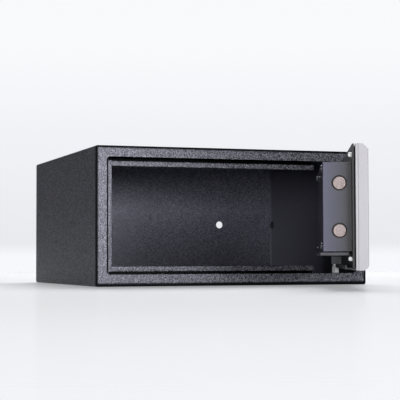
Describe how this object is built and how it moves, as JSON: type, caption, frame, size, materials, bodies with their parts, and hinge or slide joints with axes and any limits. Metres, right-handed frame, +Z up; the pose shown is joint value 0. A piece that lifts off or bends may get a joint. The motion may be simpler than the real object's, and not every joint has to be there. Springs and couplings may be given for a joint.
{
  "type": "security safe",
  "caption": "Low, wide steel security safe standing open: textured black cabinet, right-hinged door with round locking bolts, bolt work, electronic lock and keypad.",
  "frame": {"origin": "centre of the cabinet's underside", "axes": "+Z up, +X to the right as seen from the front, +Y from the door towards the back"},
  "size_m": [0.42, 0.719, 0.2],
  "materials": {
    "textured_black": "fine textured powder coat, black, low sheen",
    "smooth_black": "plain black paint, satin",
    "grey_steel": "dark grey paint, satin",
    "silver_plastic": "silver painted moulding, satin",
    "silver_steel": "silver paint, satin",
    "black_plastic": "black moulded plastic, matte",
    "white_plastic": "soft white plastic, matte",
    "nickel": "nickel plated, turned end",
    "zinc_steel": "bright zinc plate",
    "black_foam": "black foam strip, matte",
    "board": "green circuit board, satin",
    "smoked_acrylic": "dark red smoked acrylic, gloss",
    "brass": "machined brass, satin",
    "key_grey": "dark grey key caps, matte",
    "cell_sleeve": "blue sleeve on a metal can, satin"
  },
  "bodies": {
    "cabinet": {"cabinet_wrap": "textured_black", "front_frame": "textured_black", "rear_panel": "textured_black", "cable_hole_plug": "black_plastic", "stop_rail_top": "textured_black", "stop_rail_bottom": "textured_black", "keeper_rail": "textured_black", "hinge_bracket_lower": "smooth_black", "hinge_bracket_upper": "smooth_black", "hinge_pin_lower": "zinc_steel", "hinge_pin_upper": "zinc_steel"},
    "door": {"door_plate": "smooth_black", "fascia": "silver_plastic", "fascia_backplate": "silver_steel", "fascia_gasket": "black_foam", "door_buffer_upper": "white_plastic", "door_buffer_lower": "white_plastic", "hinge_leaf_lower": "grey_steel", "hinge_leaf_upper": "grey_steel", "lock_cover": "grey_steel", "lock_chassis": "smooth_black", "battery_cover": "grey_steel", "battery_cover_screw": "zinc_steel", "motor_bracket": "zinc_steel", "gear_motor": "black_plastic", "circuit_board": "board", "battery_holder": "black_plastic", "override_lock_body": "nickel", "keypad_board": "board", "display_window": "smoked_acrylic", "cover_screw_1": "zinc_steel", "cover_screw_2": "zinc_steel", "cover_screw_3": "zinc_steel", "cover_screw_4": "zinc_steel", "battery_cell_1": "cell_sleeve", "battery_cell_2": "cell_sleeve", "battery_cell_3": "cell_sleeve", "battery_cell_4": "cell_sleeve"},
    "bolt_work": {"bolt_carriage": "zinc_steel", "bolt_lower": "nickel", "bolt_upper": "nickel"},
    "pinion": {"drive_pinion": "brass"},
    "override": {"override_plug": "brass", "override_cam": "zinc_steel"},
    "keyhole_disc": {"keyhole_cover": "silver_steel"},
    "reset": {"reset_button": "black_plastic"},
    "key_clear_body": {"key_clear": "key_grey"},
    "key_0_body": {"key_0": "key_grey"},
    "key_lock_body": {"key_lock": "key_grey"},
    "key_7_body": {"key_7": "key_grey"},
    "key_8_body": {"key_8": "key_grey"},
    "key_9_body": {"key_9": "key_grey"},
    "key_4_body": {"key_4": "key_grey"},
    "key_5_body": {"key_5": "key_grey"},
    "key_6_body": {"key_6": "key_grey"},
    "key_1_body": {"key_1": "key_grey"},
    "key_2_body": {"key_2": "key_grey"},
    "key_3_body": {"key_3": "key_grey"}
  },
  "joints": [
    {"name": "door_hinge", "type": "hinge", "parent": "cabinet", "child": "door", "pos_m": [0.173, -0.1726, 0.1], "axis": [0, 0, 1], "range_deg": [-67, 3.5]},
    {"name": "bolt_slide", "type": "slide", "parent": "door", "child": "bolt_work", "axis": [-0.3907, -0.9205, 0], "range_m": [0, 0.016]},
    {"name": "pinion_spin", "type": "hinge", "parent": "door", "child": "pinion", "pos_m": [0.07506, -0.38415, 0.11225], "axis": [-0.9205, 0.3907, 0], "range_deg": [0, 115]},
    {"name": "override_turn", "type": "hinge", "parent": "door", "child": "override", "pos_m": [0.12093, -0.36668, 0.12825], "axis": [0.9205, -0.3907, 0], "range_deg": [0, 90]},
    {"name": "keyhole_cover_swing", "type": "hinge", "parent": "door", "child": "keyhole_disc", "pos_m": [0.12093, -0.36668, 0.14525], "axis": [0.9205, -0.3907, 0], "range_deg": [-110, 110]},
    {"name": "reset_press", "type": "slide", "parent": "door", "child": "reset", "axis": [0.9205, -0.3907, 0], "range_m": [0, 0.001], "stiffness_N_per_m": 400},
    {"name": "key_clear_press", "type": "slide", "parent": "door", "child": "key_clear_body", "axis": [-0.9205, 0.3907, 0], "range_m": [0, 0.0012], "stiffness_N_per_m": 400},
    {"name": "key_0_press", "type": "slide", "parent": "door", "child": "key_0_body", "axis": [-0.9205, 0.3907, 0], "range_m": [0, 0.0012], "stiffness_N_per_m": 400},
    {"name": "key_lock_press", "type": "slide", "parent": "door", "child": "key_lock_body", "axis": [-0.9205, 0.3907, 0], "range_m": [0, 0.0012], "stiffness_N_per_m": 400},
    {"name": "key_7_press", "type": "slide", "parent": "door", "child": "key_7_body", "axis": [-0.9205, 0.3907, 0], "range_m": [0, 0.0012], "stiffness_N_per_m": 400},
    {"name": "key_8_press", "type": "slide", "parent": "door", "child": "key_8_body", "axis": [-0.9205, 0.3907, 0], "range_m": [0, 0.0012], "stiffness_N_per_m": 400},
    {"name": "key_9_press", "type": "slide", "parent": "door", "child": "key_9_body", "axis": [-0.9205, 0.3907, 0], "range_m": [0, 0.0012], "stiffness_N_per_m": 400},
    {"name": "key_4_press", "type": "slide", "parent": "door", "child": "key_4_body", "axis": [-0.9205, 0.3907, 0], "range_m": [0, 0.0012], "stiffness_N_per_m": 400},
    {"name": "key_5_press", "type": "slide", "parent": "door", "child": "key_5_body", "axis": [-0.9205, 0.3907, 0], "range_m": [0, 0.0012], "stiffness_N_per_m": 400},
    {"name": "key_6_press", "type": "slide", "parent": "door", "child": "key_6_body", "axis": [-0.9205, 0.3907, 0], "range_m": [0, 0.0012], "stiffness_N_per_m": 400},
    {"name": "key_1_press", "type": "slide", "parent": "door", "child": "key_1_body", "axis": [-0.9205, 0.3907, 0], "range_m": [0, 0.0012], "stiffness_N_per_m": 400},
    {"name": "key_2_press", "type": "slide", "parent": "door", "child": "key_2_body", "axis": [-0.9205, 0.3907, 0], "range_m": [0, 0.0012], "stiffness_N_per_m": 400},
    {"name": "key_3_press", "type": "slide", "parent": "door", "child": "key_3_body", "axis": [-0.9205, 0.3907, 0], "range_m": [0, 0.0012], "stiffness_N_per_m": 400}
  ],
  "couplings": [
    {"joint": "pinion_spin", "follows": "bolt_slide", "rad_per_m": 125}
  ]
}
